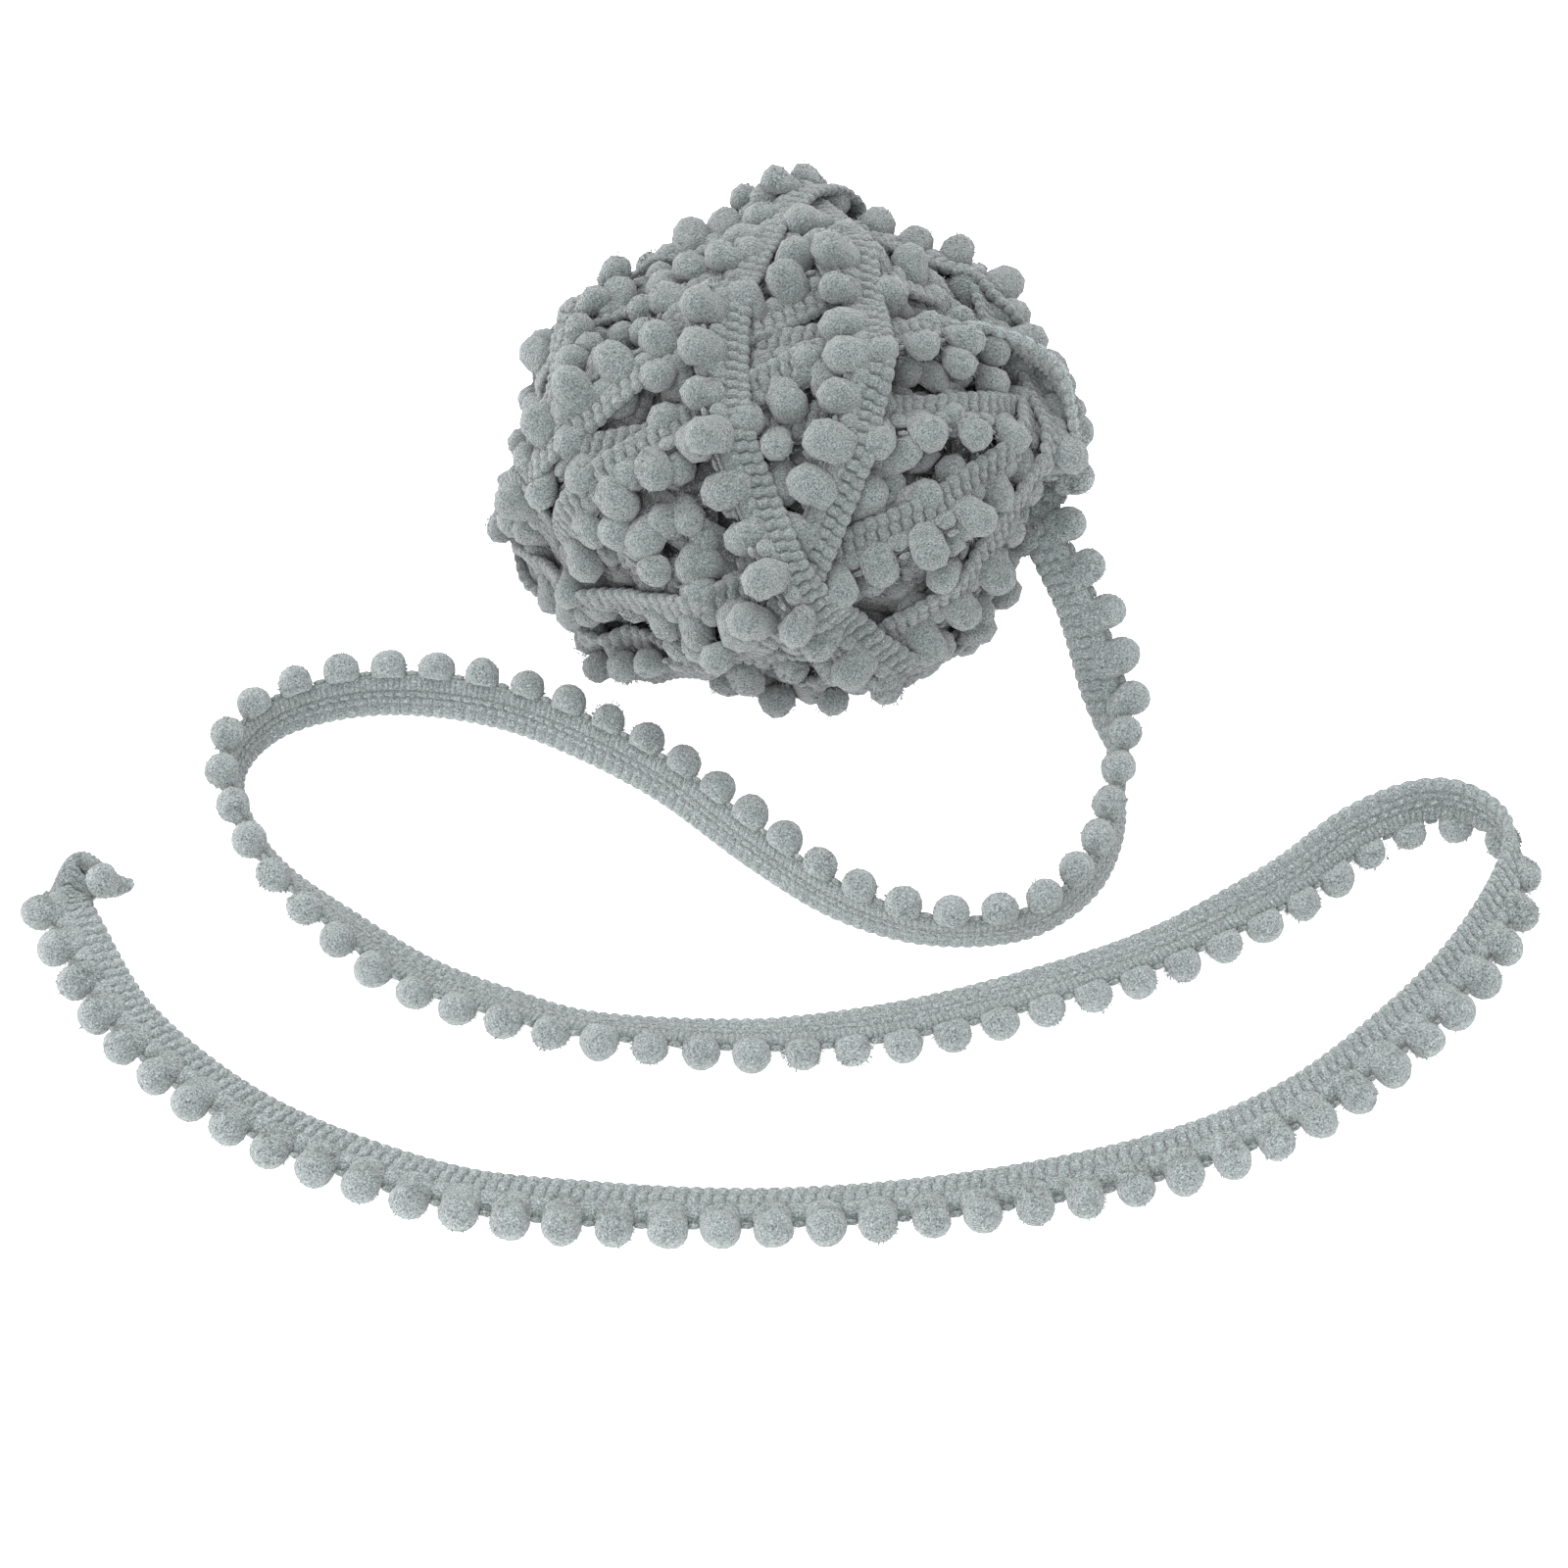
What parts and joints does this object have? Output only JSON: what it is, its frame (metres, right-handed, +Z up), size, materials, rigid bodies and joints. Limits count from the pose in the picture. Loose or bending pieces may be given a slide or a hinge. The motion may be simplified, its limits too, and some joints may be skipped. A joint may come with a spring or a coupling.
{
  "type": "pompom fringe trim wound into a ball",
  "caption": "Knitted tape trim with a row of small pompoms along one edge, wound into a loose ball, with a free end lying in waves on the surface.",
  "frame": {"origin": "middle of the flat spot under the wound ball, on the surface that it rests on", "axes": "+Z up from the surface, +X towards the side where the free end leaves the ball, -Y towards the waves of the free end"},
  "size_m": [0.2465, 0.1921, 0.0723],
  "materials": {
    "wound_yarn": "matte chenille and knitted yarn",
    "tape_yarn": "matte knitted yarn",
    "pompom_yarn": "matte plush"
  },
  "bodies": {
    "root": {"wound_ball": "wound_yarn", "heading_tape": "tape_yarn", "pompom_fringe": "pompom_yarn"}
  },
  "joints": []
}
